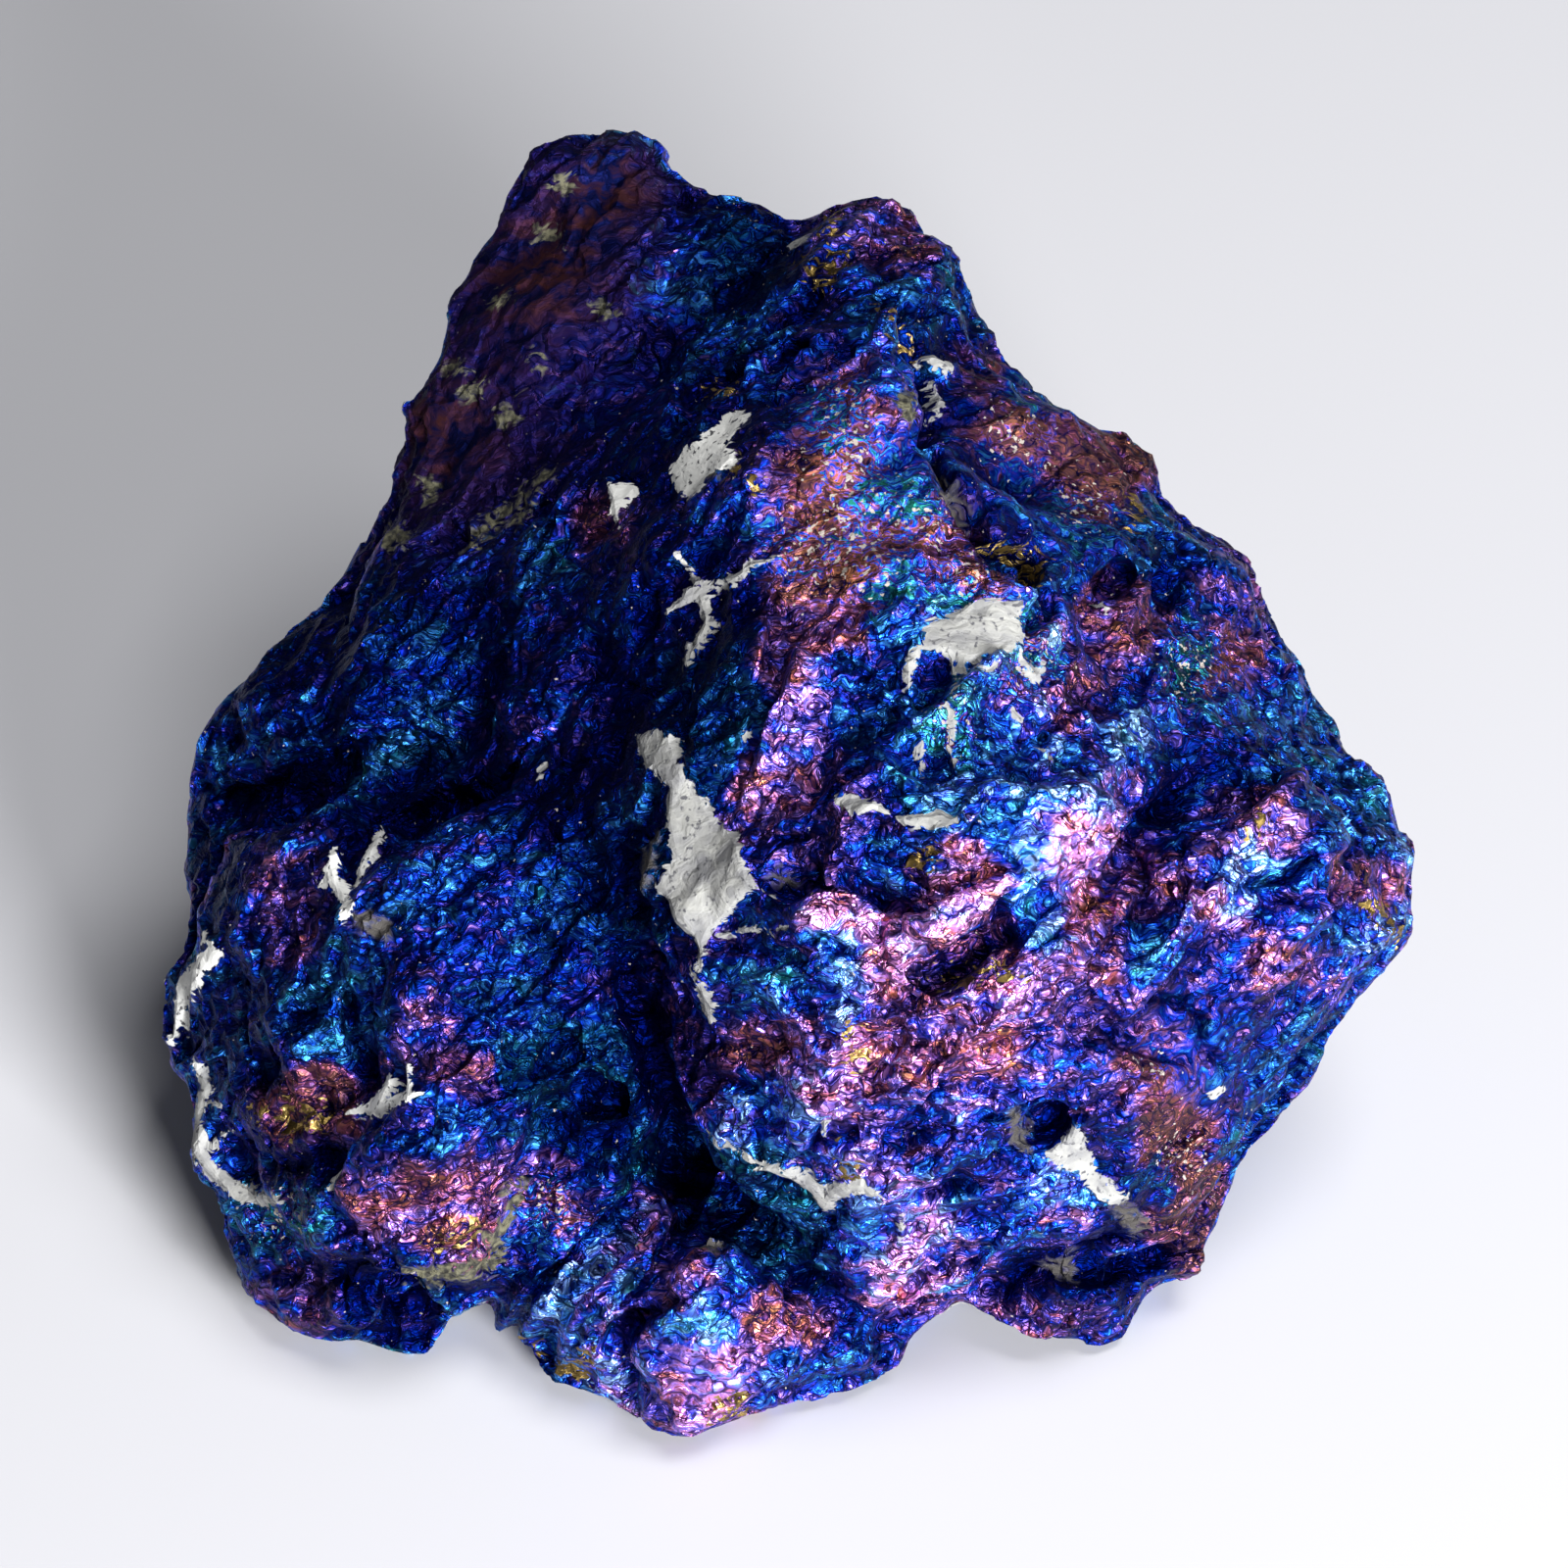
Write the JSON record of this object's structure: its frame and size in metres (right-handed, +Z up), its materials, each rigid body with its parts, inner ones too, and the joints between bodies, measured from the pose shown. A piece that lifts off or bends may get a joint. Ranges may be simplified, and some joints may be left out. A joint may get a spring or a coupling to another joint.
{
  "type": "peacock ore specimen",
  "caption": "Palm-sized broken chunk of iridescent copper sulphide ore with two lobes, a forked valley and a low foot, lying on its flat face.",
  "frame": {"origin": "centre of the bounding box's bottom, on the flat face that the stone lies on", "axes": "+Z up, out of the flat face; the pictured side looks towards -Y and up; +X to its right"},
  "size_m": [0.0644, 0.0602, 0.0414],
  "materials": {
    "tarnished_ore": "iridescent tarnish, metallic and grainy"
  },
  "bodies": {
    "root": {"ore_chunk": "tarnished_ore"}
  },
  "joints": []
}
